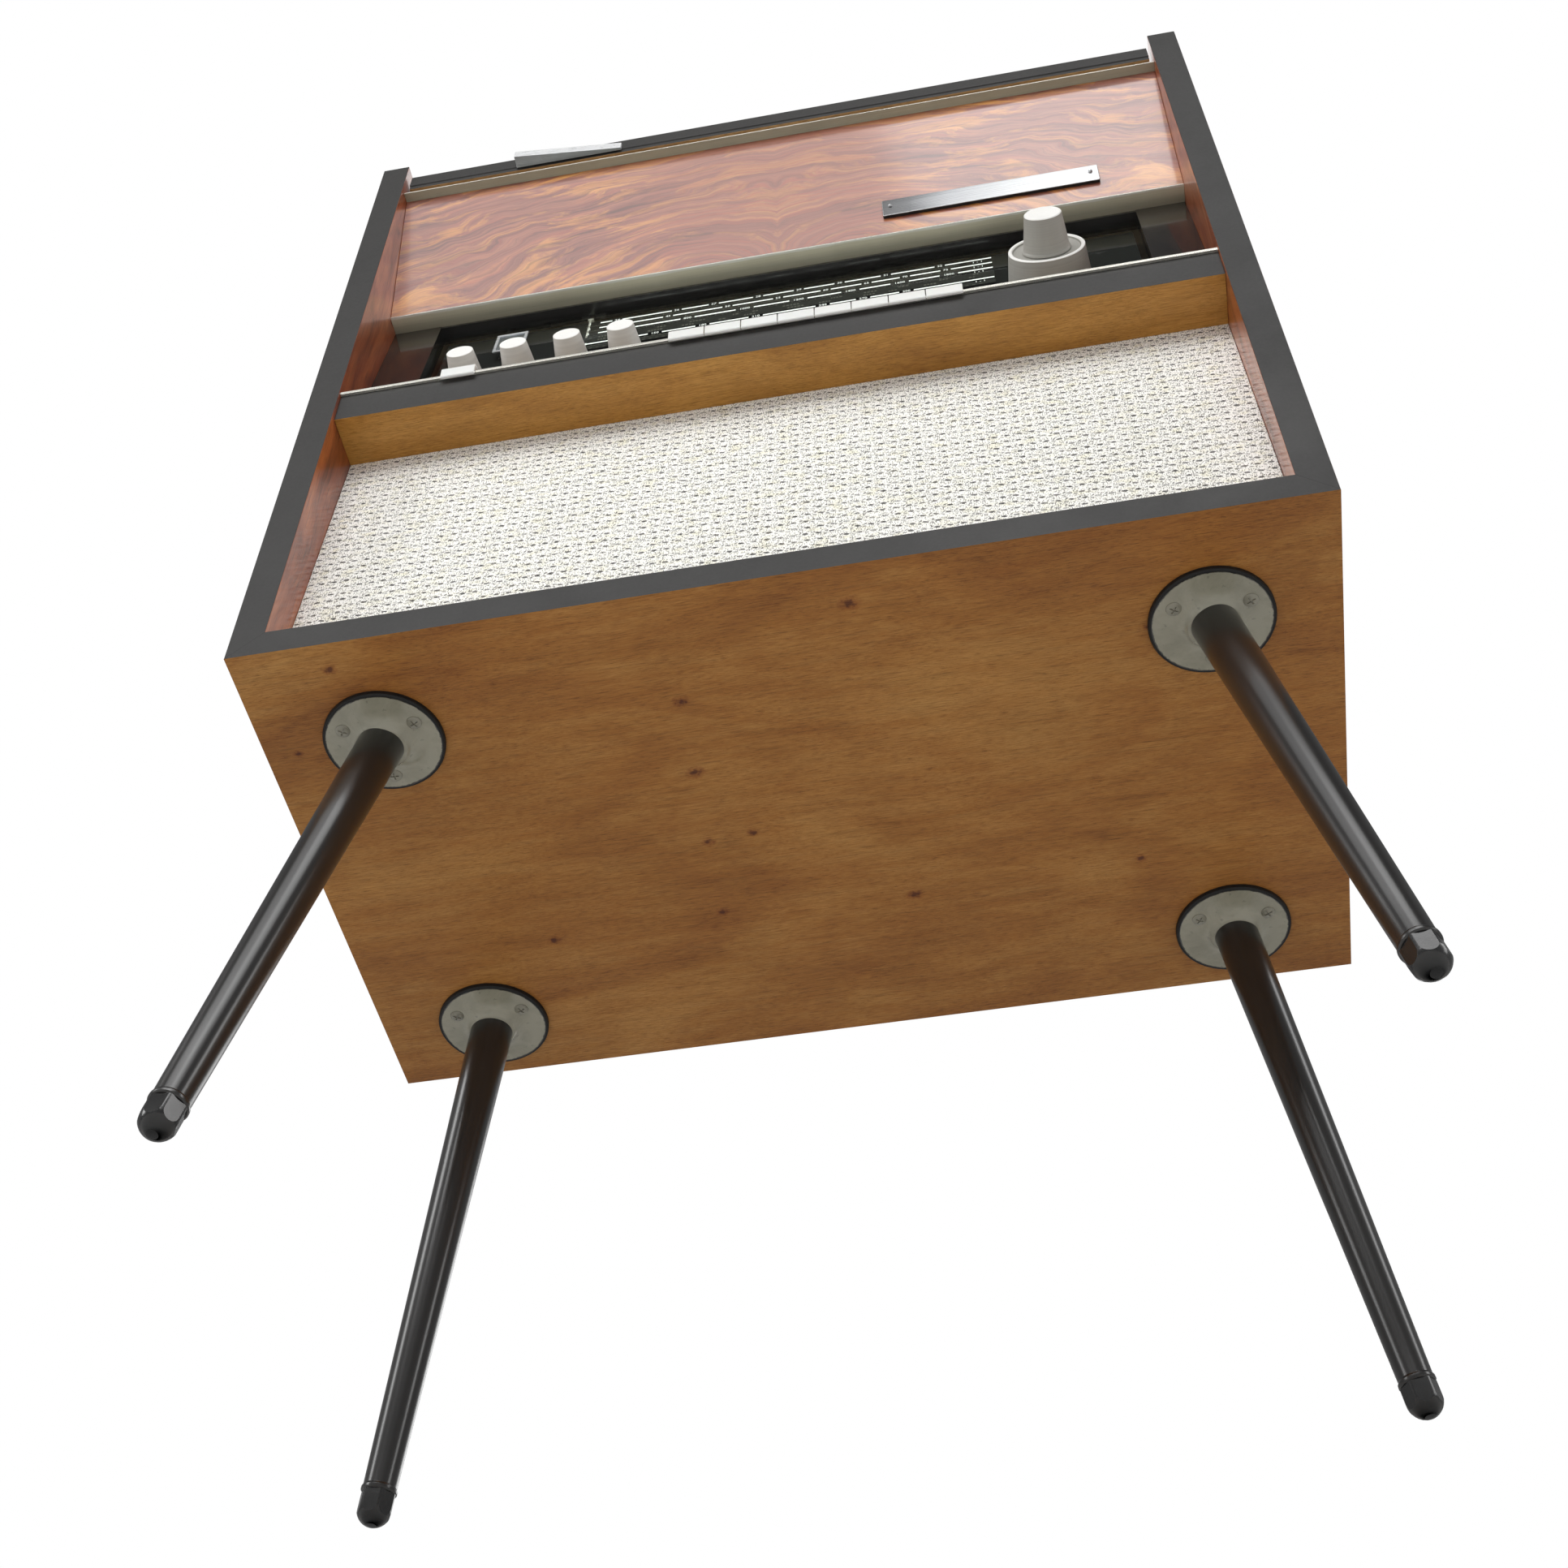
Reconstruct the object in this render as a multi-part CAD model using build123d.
"""Upright radio phonograph console on four splayed legs.

Finished frame: millimetres, +Z up, +X to the right, the front faces -Y, origin
on the floor under the middle of the console's overall width and depth.
Shapes are drawn in the cabinet's frame (y = 0 at the front edges of the side
panels, z = 0 at the underside of the cabinet) and moved when they are written.
"""
from build123d import *
import os
from math import sin, cos, radians, sqrt, pi

# ------------------------------------------------------- driving dimensions
CASE_WIDTH = 650.0
CASE_HEIGHT = 673.2
CASE_DEPTH = 375.8
ORIGIN_Y = 187.7              # middle of the overall depth, handle to rear feet
BOARD = 21.5                  # board thickness of the case
LEG_HEIGHT = 346.0            # floor to the underside of the cabinet
SIDE_X = CASE_WIDTH / 2
INNER_X = SIDE_X - BOARD      # half of the clear width between the sides
DRESS_X = INNER_X - 0.1       # half length of the pieces fitted between the sides

SHELF_BOTTOM, SHELF_TOP = 273.0, 305.0    # front rail of the middle shelf
CHASSIS_TOP = 353.5
DECK_BOTTOM, DECK_TOP = 533.0, 545.0
LID_BOTTOM, LID_TOP = 641.5, 661.5
RAIL_Y = 359.0                # front of the rear rail, rear edge of the deck

UP, DOWN, RIGHT, REARWARD = (0, 0, 1), (0, 0, -1), (1, 0, 0), (0, 1, 0)
SIDES = (-1, 1)

# ------------------------------------------------------------------- helpers
os.makedirs("parts", exist_ok=True)
TO_FLOOR = Pos(0, -ORIGIN_Y, LEG_HEIGHT)


def put(name, *parts):
    """Move the parts to the finished frame and write them as one file."""
    solids = [TO_FLOOR * solid for part in parts for solid in part.solids()]
    shape = solids[0] if len(solids) == 1 else Compound(children=solids)
    export_step(shape, f"parts/{name}.step")


def box(x0, x1, y0, y1, z0, z1):
    centre = Pos((x0 + x1) / 2, (y0 + y1) / 2, (z0 + z1) / 2)
    return centre * Box(x1 - x0, y1 - y0, z1 - z0)


def span(side, inner, outer, centre=0.0):
    """Ordered pair of positions on one side (-1 or 1) of the centre."""
    return sorted((centre + side * inner, centre + side * outer))


def unit(vector):
    length = sqrt(sum(c * c for c in vector))
    return tuple(c / length for c in vector)


def polar(centre, distance, degrees):
    angle = radians(degrees)
    return centre[0] + distance * cos(angle), centre[1] + distance * sin(angle)


def frame(point, direction):
    """Location at the point with its z axis along the direction."""
    normal = unit(direction)
    guide = (1, 0, 0) if abs(normal[0]) < 0.9 else (0, 1, 0)
    along = sum(a * b for a, b in zip(guide, normal))
    x_dir = unit(tuple(a - along * b for a, b in zip(guide, normal)))
    return Plane(origin=point, x_dir=x_dir, z_dir=normal).location


def bar(point, direction, radius, start, end):
    """Round bar about a line, from start to end along it."""
    return frame(point, direction) * (Pos(0, 0, (start + end) / 2) * Cylinder(radius, end - start))


def cross_bar(y, z, radius, x0, x1):
    return bar((0, y, z), RIGHT, radius, x0, x1)


def upright_bar(spot, radius, z0, z1):
    return bar((spot[0], spot[1], 0), UP, radius, z0, z1)


def turned(point, direction, profile):
    """Solid of revolution: profile is (radius, height) about the line."""
    with BuildPart() as builder:
        with BuildSketch(Plane.XZ):
            with BuildLine():
                Polyline(*profile, close=True)
            make_face()
        revolve(axis=Axis.Z)
    return frame(point, direction) * builder.part


def upright(spot, profile):
    """Solid of revolution about the vertical through spot."""
    return turned((spot[0], spot[1], 0), UP, profile)


def prism(plane, outline, amount):
    return extrude(plane * make_face(Polyline(*outline, close=True)), amount=amount)


def plane_yz(x):
    return Plane(origin=(x, 0, 0), x_dir=(0, 1, 0), z_dir=(1, 0, 0))


def prism_yz(outline, x0, x1):
    return prism(plane_yz(x0), outline, x1 - x0)


def prism_xz(outline, y0, y1):
    plane = Plane(origin=(0, y0, 0), x_dir=(1, 0, 0), z_dir=(0, -1, 0))
    return prism(plane, outline, -(y1 - y0))


def prism_xy(outline, z0, z1):
    plane = Plane(origin=(0, 0, z0), x_dir=(1, 0, 0), z_dir=(0, 0, 1))
    return prism(plane, outline, z1 - z0)


def soft(shape, edges, radius):
    """Round the given edges."""
    # guards against a fillet the kernel can't build: the shape then stays sharp
    try:
        rounded = fillet(edges, radius)
        return rounded if rounded.is_valid else shape
    except Exception:
        return shape


# ---------------------------------------------------------------- leg layout
LEG_X, LEG_FRONT_Y, LEG_REAR_Y = 249.5, 75.6, 326.4
SPLAY_X, SPLAY_Y = 0.1448, 0.1377         # sideways run per mm going down
FLANGE_SCREW_CIRCLE_R = 25.5
FLANGE_SCREW_ANGLES = (-148.0, -28.0, 92.0)
SCREW_R = 1.9

LEG_LINES = []                            # top point and downward direction
for side_x, side_y in ((-1, -1), (1, -1), (-1, 1), (1, 1)):
    leg_y = LEG_FRONT_Y if side_y < 0 else LEG_REAR_Y
    LEG_LINES.append(((side_x * LEG_X, leg_y, 0.0),
                      unit((side_x * SPLAY_X, side_y * SPLAY_Y, -1.0))))


def screw_spots(centre):
    """Angle and place of each flange screw of a leg."""
    return [(angle, (*polar(centre, FLANGE_SCREW_CIRCLE_R, angle), 0))
            for angle in FLANGE_SCREW_ANGLES]


# ---------------------------------------------------------------------- case
REBATE, REBATE_Y, REBATE_TOP = 8, 366, 538
COVER_LIP = REBATE - 0.5
rebate = box(-INNER_X - REBATE, INNER_X + REBATE, REBATE_Y, CASE_DEPTH + 1,
             BOARD - REBATE, REBATE_TOP)

# sides and bottom are mitred together at 45 degrees
put("side_panel_right",
    prism_xz([(INNER_X, BOARD), (SIDE_X, 0), (SIDE_X, CASE_HEIGHT), (INNER_X, CASE_HEIGHT)],
             0, CASE_DEPTH) - rebate)
put("side_panel_left",
    prism_xz([(-INNER_X, BOARD), (-INNER_X, CASE_HEIGHT), (-SIDE_X, CASE_HEIGHT), (-SIDE_X, 0)],
             0, CASE_DEPTH) - rebate)

# bottom board, bored for the leg studs and flange screws
bottom = prism_xz([(-SIDE_X, 0), (SIDE_X, 0), (INNER_X, BOARD), (-INNER_X, BOARD)],
                  0, CASE_DEPTH) - rebate
for leg_top, _ in LEG_LINES:
    bottom = bottom - upright_bar(leg_top, 9.0, -1, 15)
    for _, spot in screw_spots(leg_top):
        bottom = bottom - upright_bar(spot, SCREW_R, -1, 12)
put("bottom_board", bottom)

# the middle shelf carries the receiver and closes the loudspeaker space
SHELF_UNDER = SHELF_TOP - 18.0            # underside of the board behind the rail
put("middle_shelf",
    prism_yz([(3.5, SHELF_BOTTOM), (62, SHELF_BOTTOM), (62, SHELF_UNDER),
              (345, SHELF_UNDER), (345, SHELF_TOP), (3.5, SHELF_TOP)], -INNER_X, INNER_X))

put("rear_rail", box(-INNER_X, INNER_X, RAIL_Y, CASE_DEPTH, 526, LID_TOP) - rebate)

# back cover with rows of slots above and round holes below
back = box(-INNER_X - COVER_LIP, INNER_X + COVER_LIP, REBATE_Y + 0.3, REBATE_Y + 4.3,
           BOARD - COVER_LIP, REBATE_TOP - 0.5)
vents = [Pos(-200 + i * 50, 368, z) * extrude(Plane.XZ * SlotOverall(36, 7), amount=6, both=True)
         for z in range(330, 431, 20) for i in range(9)]
vents += [bar((-180 + i * 60, 360, z), REARWARD, 9, 0, 20)
          for i in range(7) for z in (110, 150, 190)]
openings = vents[0]
for vent in vents[1:]:
    openings = openings + vent
put("back_cover", back - openings)

# ------------------------------------------------------------- front dressing
PANEL_TOP_Y, PANEL_TOP_Z = 11.5, 630.2    # top of the upper panel's front face
PANEL_BOTTOM_Z = 482.3
PANEL_SLOPE = 26.2 / 149.7                # run back per mm going down
PANEL_THICK_Y = 12.0 / cos(0.1732)        # 12 mm board measured along y


def panel_y(z):
    return PANEL_TOP_Y + PANEL_SLOPE * (PANEL_TOP_Z - z)


put("upper_front_panel",
    prism_yz([(panel_y(PANEL_TOP_Z), PANEL_TOP_Z), (panel_y(PANEL_BOTTOM_Z), PANEL_BOTTOM_Z),
              (panel_y(PANEL_BOTTOM_Z) + PANEL_THICK_Y, PANEL_BOTTOM_Z),
              (panel_y(PANEL_TOP_Z) + PANEL_THICK_Y, PANEL_TOP_Z)], -DRESS_X, DRESS_X))

# trim strips, outlines as (y, z)
TRIMS = {
    # a nosing in front and a web that fills the gap under the lid
    "top_trim": [(4.0, 630.2), (34.0, 630.2), (34.0, 641.2), (16.0, 641.2),
                 (14.0, 639.2), (14.0, 632.2), (5.0, 632.2), (4.0, 631.4)],
    "mid_trim": [(36.9, 480.5), (64.0, 480.5), (64.0, 482.3), (37.5, 482.3), (36.9, 481.7)],
    "shelf_trim": [(1.3, 303.6), (3.5, 303.6), (3.5, 305.0), (14.0, 305.0),
                   (14.0, 306.6), (13.6, 307.0), (1.9, 307.0), (1.3, 306.4)],
}
for trim_name, outline in TRIMS.items():
    put(trim_name, prism_yz(outline, -DRESS_X, DRESS_X))

# nameplate: a blank bar on the slanted panel, with two rivet heads
PLATE_X, PLATE_Z, PLATE_T = 162.75, 509.8, 3.0
plate = Box(163.4, 19.0, PLATE_T)
plate = soft(plate, plate.edges().filter_by(Axis.Z), 1.0)
plate = soft(plate, plate.faces().sort_by(Axis.Z)[-1].edges(), 0.5)
for side in SIDES:
    plate = plate + Pos(side * 75.6, 1.6, PLATE_T / 2) * Sphere(1.7)
put("nameplate", frame((PLATE_X, panel_y(PLATE_Z), PLATE_Z), (0.0, -1.0, -PANEL_SLOPE))
    * (Pos(0, 0, PLATE_T / 2) * plate))

# ------------------------------------------------------------ loudspeaker bay
CLOTH_Y0, BAFFLE_SLOPE = 23.5, 0.062      # cloth face: y = CLOTH_Y0 + slope * z
CLOTH_T, BAFFLE_T = 1.2, 12.0
SPEAKER_X, SPEAKER_Z = 150.0, 147.0
BAFFLE_NORMAL = (0.0, -1.0, BAFFLE_SLOPE)

# (radius, height out of the cloth face)
BASKET_PROFILE = [
    (86, -13.4), (102, -13.4), (102, -16.4), (97, -16.4), (44, -62), (44, -66), (40, -66),
    (40, -86), (0, -86), (0, -64), (42, -64), (42, -61.5), (93.5, -16.4), (86, -16.4)]
CONE_PROFILE = [
    (85.6, -14.0), (85.6, -15.2), (80, -17.4), (76, -16.0), (22, -51), (14, -51), (14, -60),
    (13, -60), (13, -50), (0, -46.5), (0, -45.3), (10, -47), (20, -50), (75.5, -14.8),
    (80, -16.2)]


def cloth_y(z):
    return CLOTH_Y0 + BAFFLE_SLOPE * z


def leaning_board(z0, z1, front, rear, half_width):
    """Board parallel to the cloth face, front and rear measured behind it along y."""
    return prism_yz([(cloth_y(z0) + front, z0), (cloth_y(z1) + front, z1),
                     (cloth_y(z1) + rear, z1), (cloth_y(z0) + rear, z0)],
                    -half_width, half_width)


speaker_centres = [(side * SPEAKER_X, cloth_y(SPEAKER_Z), SPEAKER_Z) for side in SIDES]
baffle = leaning_board(BOARD, SHELF_BOTTOM, CLOTH_T, CLOTH_T + BAFFLE_T, DRESS_X)
for centre in speaker_centres:
    baffle = baffle - bar(centre, BAFFLE_NORMAL, 90.0, -40, 10)
put("speaker_baffle", baffle)
put("grille_cloth",
    leaning_board(BOARD + 0.1, SHELF_BOTTOM - 0.1, 0, CLOTH_T, DRESS_X - 0.1))
put("speaker_baskets", *[turned(c, BAFFLE_NORMAL, BASKET_PROFILE) for c in speaker_centres])
put("speaker_cones", *[turned(c, BAFFLE_NORMAL, CONE_PROFILE) for c in speaker_centres])

# ---------------------------------------------------------------- dial frame
# "out" is the distance forward of the dial face, square to it
DIAL_TILT = 0.128                         # y per z of the dial face
DIAL_Y480 = 50.9                          # y of the dial face at z = 480
DIAL_NORMAL = unit((0.0, -1.0, DIAL_TILT))
DIAL_TOP = 480.3
GLASS_FACE = -6.0                         # glass is set back behind the end plates
GLASS_T = 4.0
GLASS_HALF = 266.3

KNOB_XS = [-226.4 + 39.1 * i for i in range(4)]
KNOB_Z = 354.0
TUNE_X, TUNE_Z = 194.7, 380.0
SHAFT_R, SHAFT_CLEAR = 3.0, 0.05
SPINDLE_R = 5.0                           # hollow spindle of the tuning ring


def dial_point(x, z, out=0.0):
    y = DIAL_Y480 + DIAL_TILT * (z - 480.0)
    return (x, y + DIAL_NORMAL[1] * out, z + DIAL_NORMAL[2] * out)


def dial_plate(x0, x1, z0, z1, out0, out1):
    """Slab parallel to the dial face between heights z0 and z1 of the face."""
    corners = ((z0, out0), (z1, out0), (z1, out1), (z0, out1))
    return prism_yz([dial_point(0, z, out)[1:] for z, out in corners], x0, x1)


def dial_bar(x, z, radius, out0, out1):
    return bar(dial_point(x, z), DIAL_NORMAL, radius, out0, out1)


def drill_controls(part, knob_hole_r, knob_out, tune_hole_r, tune_out):
    """Cut the holes for the four knob shafts and the tuning spindle."""
    for x in KNOB_XS:
        part = part - dial_bar(x, KNOB_Z, knob_hole_r, knob_out, 10)
    return part - dial_bar(TUNE_X, TUNE_Z, tune_hole_r, tune_out, 10)


# ----------------------------------------------------------------------- dial
# end plates and a top strip, trimmed level
surround = dial_plate(-DRESS_X, -GLASS_HALF - 0.2, 305.6, DIAL_TOP, -12, 0)
surround = surround + dial_plate(GLASS_HALF + 0.2, DRESS_X, 305.6, DIAL_TOP, -12, 0)
surround = surround + dial_plate(-DRESS_X, DRESS_X, 477.4, DIAL_TOP, -14, -0.3)
surround = surround & box(-400, 400, 0, 100, 305.1, DIAL_TOP)
put("dial_surround", surround)

glass = dial_plate(-GLASS_HALF, GLASS_HALF, 320.5, 476.6, GLASS_FACE - GLASS_T, GLASS_FACE)
put("dial_glass", drill_controls(glass, 4.2, -30, 6.5, -30))

# scale plate with an eye window, and the pointer rail on two brackets behind it
EYE_X, EYE_Z = -207.5, 437.6
POINTER_RAIL_R = 1.5
_, POINTER_RAIL_Y, POINTER_RAIL_Z = dial_point(0, 462.0, -19.5)


def eye_plate(half_x, half_z, out0, out1):
    return dial_plate(EYE_X - half_x, EYE_X + half_x, EYE_Z - half_z, EYE_Z + half_z, out0, out1)


scale = drill_controls(dial_plate(-262, 262, 322, 468, -13, -12), 4.2, -30, 6.5, -30)
scale = scale - eye_plate(9.5, 14, -20, 0)
for side in SIDES:
    scale = scale + dial_plate(*span(side, 184.0, 190.0), 455, 468, -23, -12.5)
scale = scale + cross_bar(POINTER_RAIL_Y, POINTER_RAIL_Z, POINTER_RAIL_R, -186, 186)
put("dial_scale_plate", scale)

# needle hooked over the top of the scale plate, with its carriage on the rail
POINTER_X, POINTER_TOP = -150.0, 472.5
needle, hook, carriage = [
    dial_plate(POINTER_X - half, POINTER_X + half, z0, POINTER_TOP, out0, out1)
    for half, z0, out0, out1 in ((0.6, 397, -11.5, -10.6), (2.0, 469.2, -24, -10.6),
                                 (9, 456, -24, -14.2))]
put("dial_pointer", needle + hook + carriage
    - cross_bar(POINTER_RAIL_Y, POINTER_RAIL_Z, POINTER_RAIL_R + 0.05, -260, 260))

put("eye_bezel", eye_plate(12, 16.1, GLASS_FACE, GLASS_FACE + 0.8)
    - eye_plate(9.8, 13.9, GLASS_FACE - 1, GLASS_FACE + 2))

# ----------------------------------------------------------------- receiver
# chassis: hollow tray, tilted front bracket and two side arms joining them
TRAY_X, SHEET = 245.0, 1.5
tray_in = TRAY_X - SHEET
tray = (box(-TRAY_X, TRAY_X, 135, 330, SHELF_TOP, CHASSIS_TOP)
        - box(-tray_in, tray_in, 136.5, 328.5, SHELF_TOP - 1, CHASSIS_TOP - SHEET))
chassis = tray + dial_plate(-TRAY_X, TRAY_X, 335, 402, -32, -30.5)
for side in SIDES:
    chassis = chassis + box(*span(side, tray_in, TRAY_X), 63, 137, 336, 352)
put("radio_chassis", drill_controls(chassis, 4.5, -60, SPINDLE_R + SHAFT_CLEAR, -34))

pots = []
for x in KNOB_XS:
    pot = dial_bar(x, KNOB_Z, 12.0, -46, -32) + dial_bar(x, KNOB_Z, 4.5, -32, -15)
    pots.append(pot - dial_bar(x, KNOB_Z, SHAFT_R, -41, -10))
put("control_pots", *pots)

# valves on the chassis (x, y, height) and the indicator tube behind the dial
VALVES = ((-60, 180, 52), (-5, 185, 60), (50, 180, 52),
          (-60, 275, 64), (5, 280, 58), (60, 275, 52))
valves = [turned((x, y, CHASSIS_TOP), UP,
                 [(0, 0), (9.5, 0), (9.5, 5), (11, 7), (11, height - 8), (9, height - 3),
                  (4, height), (1.5, height + 4), (0, height + 5)])
          for x, y, height in VALVES]
valves.append(turned(dial_point(EYE_X, EYE_Z, -13.0), DIAL_NORMAL,
                     [(0, 0), (9, 0), (11, -2), (11, -52), (9.5, -54), (9.5, -60), (0, -60)]))
put("valves", *valves)

transformer = box(-205, -125, 200, 225, CHASSIS_TOP, 420) + box(-195, -135, 186, 239, 362, 410)
put("power_transformer",
    soft(transformer, transformer.faces().sort_by(Axis.Y)[0].edges(), 4))

# tuning capacitor: base, two end plates, two tie bars and three fixed vanes
ROTOR_Y, ROTOR_Z, ROTOR_SHAFT_R = 230, 385, 3.0
VANE_T = 1.6
capacitor = box(140, 200, 200, 262, CHASSIS_TOP, 355.5)
for x0 in (140, 198):
    capacitor = capacitor + box(x0, x0 + 2, 210, 262, CHASSIS_TOP, 402)
capacitor = capacitor + box(140, 200, 258, 262, 362, 368) + box(140, 200, 258, 262, 396, 402)
for x in (156, 170, 184):
    capacitor = capacitor + box(x - VANE_T / 2, x + VANE_T / 2, 236, 260, 362, 402)
put("tuning_capacitor", capacitor - cross_bar(ROTOR_Y, ROTOR_Z, ROTOR_SHAFT_R + 0.05, 130, 210))

rotor = cross_bar(ROTOR_Y, ROTOR_Z, ROTOR_SHAFT_R, 134, 206)
half_disc = cross_bar(ROTOR_Y, ROTOR_Z, 22, 0, VANE_T) & box(-5, 5, ROTOR_Y, 260, 355, 415)
for x in (149, 163, 177, 191):
    rotor = rotor + Pos(x - VANE_T / 2, 0, 0) * half_disc
put("capacitor_rotor", rotor)

# -------------------------------------------------------------------- controls
KNOB_REAR = GLASS_FACE + 0.5              # rear face of the knobs and the ring
KNOB_TIP, KNOB_TIP_R, KNOB_BASE_R = GLASS_FACE + 30.0, 9.6, 13.5
RING_TIP, RING_BASE_R, RING_TIP_R = GLASS_FACE + 25.0, 29.6, 27.0
RING_FACE = RING_TIP - 2.2                # recessed face inside the ring's rim
TUNE_TIP, TUNE_BASE_R, TUNE_TIP_R = GLASS_FACE + 50.0, 16.6, 13.0

for i, x in enumerate(KNOB_XS):
    knob = turned(dial_point(x, KNOB_Z), DIAL_NORMAL, [
        (0, KNOB_REAR), (KNOB_BASE_R - 0.6, KNOB_REAR), (KNOB_BASE_R, KNOB_REAR + 0.6),
        (KNOB_TIP_R + 0.05, KNOB_TIP - 0.6), (KNOB_TIP_R - 0.5, KNOB_TIP), (0, KNOB_TIP + 0.1)])
    knob = knob + dial_bar(x, KNOB_Z, SHAFT_R - SHAFT_CLEAR, -38, KNOB_REAR + 1)
    put(f"control_knob_{i + 1}", knob)

ring = turned(dial_point(TUNE_X, TUNE_Z), DIAL_NORMAL, [
    (0, KNOB_REAR), (RING_BASE_R - 0.7, KNOB_REAR), (RING_BASE_R, KNOB_REAR + 0.7),
    (RING_TIP_R + 0.1, RING_TIP - 0.7), (RING_TIP_R - 0.6, RING_TIP),
    (RING_TIP_R - 2.2, RING_TIP), (RING_TIP_R - 2.7, RING_TIP - 0.5),
    (RING_TIP_R - 3.1, RING_FACE), (0, RING_FACE)])
ring = ring + dial_bar(TUNE_X, TUNE_Z, SPINDLE_R, -31.5, KNOB_REAR + 1)
ring = ring - dial_bar(TUNE_X, TUNE_Z, SHAFT_R + SHAFT_CLEAR, -60, 60)
put("tuning_ring", ring)

# the tuning knob's shaft runs through the ring to a drum at its rear end
tune_rear = RING_FACE + 0.4
tuning_knob = turned(dial_point(TUNE_X, TUNE_Z), DIAL_NORMAL, [
    (0, tune_rear), (TUNE_BASE_R + 1.0, tune_rear), (TUNE_BASE_R + 0.3, tune_rear + 1.6),
    (TUNE_TIP_R + 0.1, TUNE_TIP - 0.8), (TUNE_TIP_R - 0.6, TUNE_TIP), (0, TUNE_TIP + 0.15)])
tuning_knob = tuning_knob + dial_bar(TUNE_X, TUNE_Z, SHAFT_R, -62, tune_rear + 1)
tuning_knob = tuning_knob + dial_bar(TUNE_X, TUNE_Z, 9.0, -60, -50)
put("tuning_knob", tuning_knob)

# --------------------------------------------------------------------- keys
KEY_PITCH, KEY_WIDTH, KEY_ROW_X = 25.4, 24.8, -69.8
POWER_KEY_X, POWER_KEY_WIDTH = -218.4, 24.2
KEY_FRONT, KEY_INSIDE = -1.1, 0.9         # y of the key's front wall, both faces
PIVOT_Y, PIVOT_Z, PIVOT_R = 112.0, 313.0, 2.0


def key(x, width):
    """Hooked key cap with a narrower arm running back to the pivot rod."""
    x0, x1 = x - width / 2, x + width / 2
    outline = [Line((KEY_FRONT, 301.0), (KEY_FRONT, 309.5)),
               RadiusArc((KEY_FRONT, 309.5), (4.4, 315.0), 5.5),
               Line((4.4, 315.0), (36, 315.2)),
               Line((36, 315.2), (36, 311.6)),
               Line((36, 311.6), (KEY_INSIDE, 311.6)),
               Line((KEY_INSIDE, 311.6), (KEY_INSIDE, 300.4)),
               Line((KEY_INSIDE, 300.4), (KEY_FRONT + 0.6, 300.4)),
               Line((KEY_FRONT + 0.6, 300.4), (KEY_FRONT, 301.0))]
    cap = extrude(plane_yz(x0) * make_face(outline), amount=width)
    if cap.volume < 0:                    # turn a cap that came out inverted
        cap = -cap
    ends = cap.faces().sort_by(Axis.X)
    # side edges of the rounded nose and of the front wall
    edges = [edge for face in (ends[0], ends[-1]) for edge in face.edges()
             if (edge.center().Y < 20 and edge.center().Z > 311.9)
             or (abs(edge.center().Y - KEY_FRONT) < 0.01 and edge.length > 5)]
    cap = soft(cap, edges, 0.5)
    arm = prism_yz([(33, 311.7), (106, 308.5), (118, 308.5), (118, 317.5),
                    (106, 317.5), (60, 316.0), (35, 315.1)], x - 6, x + 6)
    return cap + arm - cross_bar(PIVOT_Y, PIVOT_Z, PIVOT_R + 0.05, x0 - 5, x1 + 5)


put("key_power", key(POWER_KEY_X, POWER_KEY_WIDTH))
for i in range(8):
    put(f"key_{i + 1}", key(KEY_ROW_X + KEY_PITCH * (i + 0.5), KEY_WIDTH))

# base sheet with four rod supports and a rear wall
key_frame = box(-240, 142, 62, 124, SHELF_TOP, 306.5)
for x0 in (-240, -200, -78, 139):
    key_frame = key_frame + box(x0, x0 + 3, 100, 124, SHELF_TOP, 321)
key_frame = key_frame + box(-240, 142, 122, 124, SHELF_TOP, 321)
put("key_switch_frame", key_frame - cross_bar(PIVOT_Y, PIVOT_Z, PIVOT_R, -260, 160))
put("key_pivot_rod", cross_bar(PIVOT_Y, PIVOT_Z, PIVOT_R, -242, 144))

# --------------------------------------------------------------- record deck
PLATTER = (-60.0, 200.0)
PLATTER_R, RIM_INNER_R = 131.0, 125.0
IDLER_R, PULLEY_R, DRIVE_GAP = 25.0, 6.0, 0.05
ARM = ARM_X, ARM_Y = 135.0, 285.0
ARM_Z, ARM_LENGTH = 585.0, 225.0
LEVER = LEVER_X, LEVER_Y = 215.0, 120.0
# the idler runs inside the platter rim, the pulley against the idler
IDLER = polar(PLATTER, RIM_INNER_R - IDLER_R - DRIVE_GAP, -20)
PULLEY = PULLEY_X, PULLEY_Y = polar(IDLER, IDLER_R + PULLEY_R + DRIVE_GAP, 230)

deck = box(-INNER_X, INNER_X, 42, RAIL_Y, DECK_BOTTOM, DECK_TOP)
for spot, hole_r in ((PLATTER, 6.0), (IDLER, 3.0), (PULLEY, 11.0), (ARM, 8.0), (LEVER, 3.0)):
    deck = deck - upright_bar(spot, hole_r, 500, 600)
put("deck_board", deck)

put("platter", upright(PLATTER, [
    (0, 522), (5.95, 522), (5.95, 545.3), (14, 545.3), (14, 562), (RIM_INNER_R, 562),
    (RIM_INNER_R, 551), (PLATTER_R - 1, 551), (PLATTER_R, 552), (PLATTER_R, 564.5),
    (PLATTER_R - 1.5, 566), (3.9, 566), (3.9, 568.5), (3.6, 568.5), (3.6, 579),
    (2.6, 582), (0, 583)]))

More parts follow.
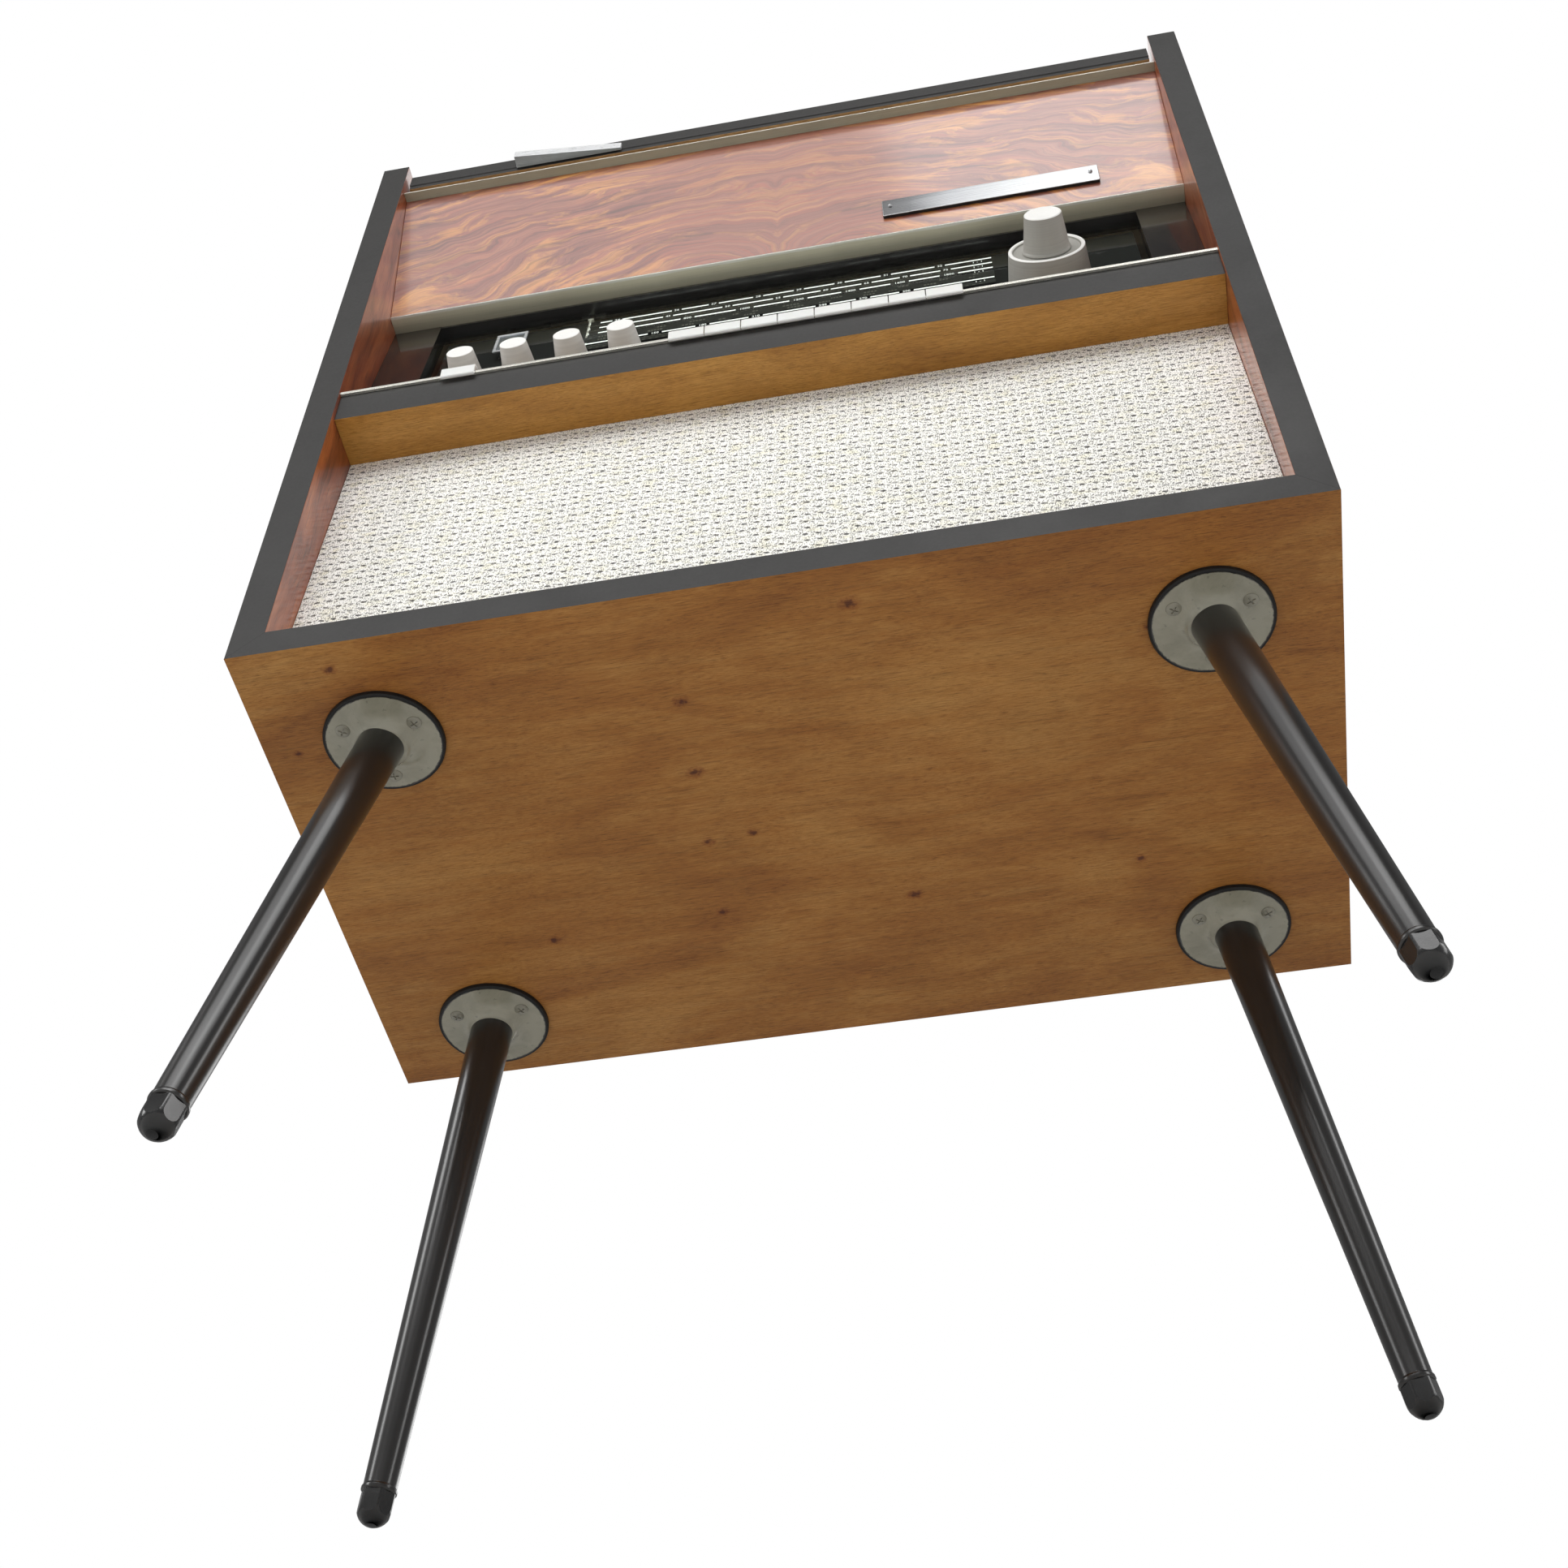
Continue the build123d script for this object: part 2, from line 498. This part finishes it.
# mat with ring grooves every 12 mm
mat = [(4.0, 566), (129, 566), (129, 568), (128, 568.5)]
for radius in range(124, 52, -12):
    mat += [(radius, 568.5), (radius - 1, 567.9), (radius - 3, 567.9), (radius - 4, 568.5)]
mat += [(48, 568.5), (46, 567.6), (4.0, 567.6)]
put("platter_mat", upright(PLATTER, mat))

put("idler_wheel", upright(IDLER, [
    (0, 534), (2.95, 534), (2.95, 546), (6, 546), (6, 552), (IDLER_R - 0.5, 552.5),
    (IDLER_R, 553), (IDLER_R, 558), (IDLER_R - 0.5, 558.5), (18, 558.5), (17, 556.5),
    (7, 556.5), (6, 560), (0, 560)]))
put("motor_pulley", upright(PULLEY, [
    (0, 500), (2.45, 500), (2.45, 547), (5.0, 547), (5.0, 550), (PULLEY_R, 551),
    (PULLEY_R, 560.5), (3, 561), (0, 561)]))

# motor hung from the deck on four posts
motor = box(PULLEY_X - 38, PULLEY_X + 38, PULLEY_Y - 32, PULLEY_Y + 32, 488, 522)
motor = motor + box(PULLEY_X - 24, PULLEY_X + 24, PULLEY_Y - 40, PULLEY_Y + 40, 494, 516)
motor = motor + upright_bar(PULLEY, 18, 478, 530)
for side_x in SIDES:
    for side_y in SIDES:
        spot = (PULLEY_X + side_x * 33, PULLEY_Y + side_y * 27)
        motor = motor + upright_bar(spot, 4, 520, DECK_BOTTOM)
put("motor", motor - upright_bar(PULLEY, 2.5, 499, 540))

# tonearm post with a fork for the arm's cross pin
post = upright(ARM, [(0, 524), (7.95, 524), (7.95, 545.3), (13, 545.3), (13, 549),
                     (11, 551), (11, 574), (0, 574)])
for side in SIDES:
    post = post + box(*span(side, 7.0, 10.0, ARM_X), ARM_Y - 5.5, ARM_Y + 5.5, 573, 591)
put("tonearm_post", post - cross_bar(ARM_Y, ARM_Z, 2.0, 100, 170))

# tonearm: tube, pivot block, cross pin, counterweight, head shell, cartridge, stylus
tonearm = bar((ARM_X, ARM_Y, ARM_Z), REARWARD, 4.2, -186, 52)
block = box(ARM_X - 6.6, ARM_X + 6.6, ARM_Y - 9, ARM_Y + 9, ARM_Z - 6.5, ARM_Z + 6.5)
block = soft(block, block.edges().filter_by(Axis.Y), 2.5)
tonearm = tonearm + block + cross_bar(ARM_Y, ARM_Z, 1.95, ARM_X - 9.9, ARM_X + 9.9)
tonearm = tonearm + turned((ARM_X, ARM_Y, ARM_Z), REARWARD,
                           [(0, 26), (11, 26), (13, 28), (13, 50), (11, 53), (0, 53)])
SHELL_OUTLINE = [(-6, -176), (6, -176), (9.5, -188), (9.5, -228),      # (x, y) from the pivot
                 (6, -236), (-6, -236), (-9.5, -228), (-9.5, -188)]
shell = prism_xy([(ARM_X + x, ARM_Y + y) for x, y in SHELL_OUTLINE], 579, 590)
shell = soft(shell, shell.faces().sort_by(Axis.Z)[-1].edges(), 2.0)
cartridge = box(ARM_X - 6, ARM_X + 6, ARM_Y - 230, ARM_Y - 206, 574, 580)
stylus = upright((ARM_X, ARM_Y - ARM_LENGTH), [(0, 571.2), (0.6, 572.0), (1.2, 575), (0, 575)])
put("tonearm", tonearm + shell + cartridge + stylus)

# speed lever: disc, arm towards the front and a small knob on its end
LEVER_REACH = 36
lever = upright(LEVER, [(0, 530), (2.95, 530), (2.95, 545.4), (15, 545.4), (16, 546.4),
                        (16, 549), (14.5, 550), (0, 550)])
lever = lever + box(LEVER_X - 4, LEVER_X + 4, LEVER_Y - LEVER_REACH, LEVER_Y, 546.4, 549)
lever = lever + upright((LEVER_X, LEVER_Y - LEVER_REACH),
                        [(0, 546.4), (5, 546.4), (4, 558), (4.8, 561), (3.5, 563), (0, 563.4)])
put("speed_lever", lever)

# ----------------------------------------------------------------------- lid
LID_X, LID_FRONT, LID_REAR = 301.0, 4.8, 357.5
put("lid", prism_yz([
    (6.0, LID_BOTTOM), (LID_REAR, LID_BOTTOM), (LID_REAR, LID_TOP), (LID_FRONT + 0.6, LID_TOP),
    (LID_FRONT, LID_TOP - 0.6), (LID_FRONT, 646.0), (6.0, 645.2)], -LID_X, LID_X))

# wedge-shaped handle on the lid's front edge, its long front edges rounded
handle = prism_xy([(-210.3, LID_FRONT), (-210.3, -4.9), (-123.5, 2.9), (-123.5, LID_FRONT)],
                  643.6, 653.6)
handle_edges = [edge for edge in handle.edges()
                if edge.center().Y < 0.2 and abs(edge.center().Z - 648.6) > 1
                and edge.length > 20]
put("lid_handle", soft(handle, handle_edges, 0.6))

# piano hinge: knuckles alternate between the leaves, the pin is on the cabinet leaf
PIN_Y, PIN_Z, PIN_R = 358.2, 664.1, 1.0
HINGE_X, KNUCKLE_PITCH = 295, 59.0
LEAF_TOP = LID_TOP + 1.1
cabinet_leaf = box(-HINGE_X, HINGE_X, 361.2, 372.5, LID_TOP, LEAF_TOP)
lid_leaf = box(-HINGE_X, HINGE_X, 344.0, 355.2, LID_TOP, LEAF_TOP)
for i in range(10):
    x0 = -HINGE_X + i * KNUCKLE_PITCH + 0.25
    x1 = x0 + KNUCKLE_PITCH - 0.5
    knuckle = cross_bar(PIN_Y, PIN_Z, 2.6, x0, x1)
    if i % 2:
        cabinet_leaf = cabinet_leaf + (knuckle + box(x0, x1, PIN_Y, 361.3, LID_TOP, LEAF_TOP))
    else:
        lid_leaf = lid_leaf + (knuckle + box(x0, x1, 355.1, PIN_Y, LID_TOP, LEAF_TOP))
put("hinge_leaf_cabinet", cabinet_leaf + cross_bar(PIN_Y, PIN_Z, PIN_R, -294.5, 294.5))
put("hinge_leaf_lid", lid_leaf - cross_bar(PIN_Y, PIN_Z, PIN_R + 0.05, -400, 400))

# ---------------------------------------------------------------------- legs
LEG_R, LEG_TAPER, LEG_END = 14.35, 0.0133, 333.2   # top radius, taper per mm, length
STUD_R = 4.0
FLANGE_R, FLANGE_T = 37.2, 3.5
GLIDE_R, GLIDE_CENTRE = 10.4, 342.55
GLIDE_STEM_R, GLIDE_STEM = 6.0, 15


def make_leg(top, axis):
    """Tapered leg cut level under its flange, with a stud above and a socket below."""
    end_r = LEG_R - LEG_TAPER * LEG_END
    leg = turned(top, axis, [
        (0, -12), (LEG_R + 0.16, -12), (LEG_R - LEG_TAPER * 329.6, 329.6),
        (end_r + 0.75, 330.6), (end_r + 0.75, 332.4), (end_r + 0.1, LEG_END), (0, LEG_END)])
    leg = leg - box(top[0] - 40, top[0] + 40, top[1] - 40, top[1] + 40, -FLANGE_T, 60)
    leg = leg + bar(top, axis, STUD_R, -13.5, 12)
    return leg - bar(top, axis, GLIDE_STEM_R, LEG_END - GLIDE_STEM, LEG_END + 5)


def make_flange(top, axis):
    flange = turned(top, DOWN, [(0, 0), (FLANGE_R, 0), (FLANGE_R, 1.6), (FLANGE_R - 0.7, 2.9),
                                (FLANGE_R - 2.0, FLANGE_T), (0, FLANGE_T)])
    flange = flange - bar(top, axis, STUD_R, -20, 20)
    for _, spot in screw_spots(top):
        flange = flange - upright_bar(spot, 2.2, -10, 5)
    return flange


def make_screw(spot, angle):
    """Cross-slotted screw, head down."""
    screw = turned(spot, DOWN, [
        (0, -11), (SCREW_R, -11), (SCREW_R, FLANGE_T), (4.7, FLANGE_T), (4.5, FLANGE_T + 0.7),
        (3.4, FLANGE_T + 1.3), (0, FLANGE_T + 1.7)])
    cross = Rot(0, 0, angle) * Box(5.4, 0.9, 1.2) + Rot(0, 0, angle + 90) * Box(5.4, 0.9, 1.2)
    return screw - frame((spot[0], spot[1], -FLANGE_T - 1.3), UP) * cross


def make_glide(top, axis):
    """Round stem and domed hexagonal foot, cut level at the floor."""
    dome = [(GLIDE_R * cos(radians(a)), GLIDE_CENTRE + GLIDE_R * sin(radians(a)))
            for a in range(10, 91, 10)]
    glide = turned(top, axis, [
        (0, LEG_END - GLIDE_STEM), (GLIDE_STEM_R, LEG_END - GLIDE_STEM),
        (GLIDE_STEM_R, LEG_END), (GLIDE_R, LEG_END), (GLIDE_R, GLIDE_CENTRE)] + dome)
    place = frame(top, axis)
    hexagon = place * (Pos(0, 0, LEG_END)
                       * extrude(RegularPolygon(9.35 / cos(pi / 6), 6), amount=30))
    stem_zone = place * (Pos(0, 0, LEG_END - 20) * Box(12.5, 12.5, 40.01))
    glide = (glide & stem_zone) + (glide & hexagon)
    return glide - box(top[0] * 1.2 - 60, top[0] * 1.2 + 60, -100, 500,
                       -LEG_HEIGHT - 20, -LEG_HEIGHT)


put("legs", *[make_leg(*line) for line in LEG_LINES])
put("leg_flanges", *[make_flange(*line) for line in LEG_LINES])
put("leg_glides", *[make_glide(*line) for line in LEG_LINES])
put("flange_screws", *[make_screw(spot, angle) for leg_top, _ in LEG_LINES
                       for angle, spot in screw_spots(leg_top)])
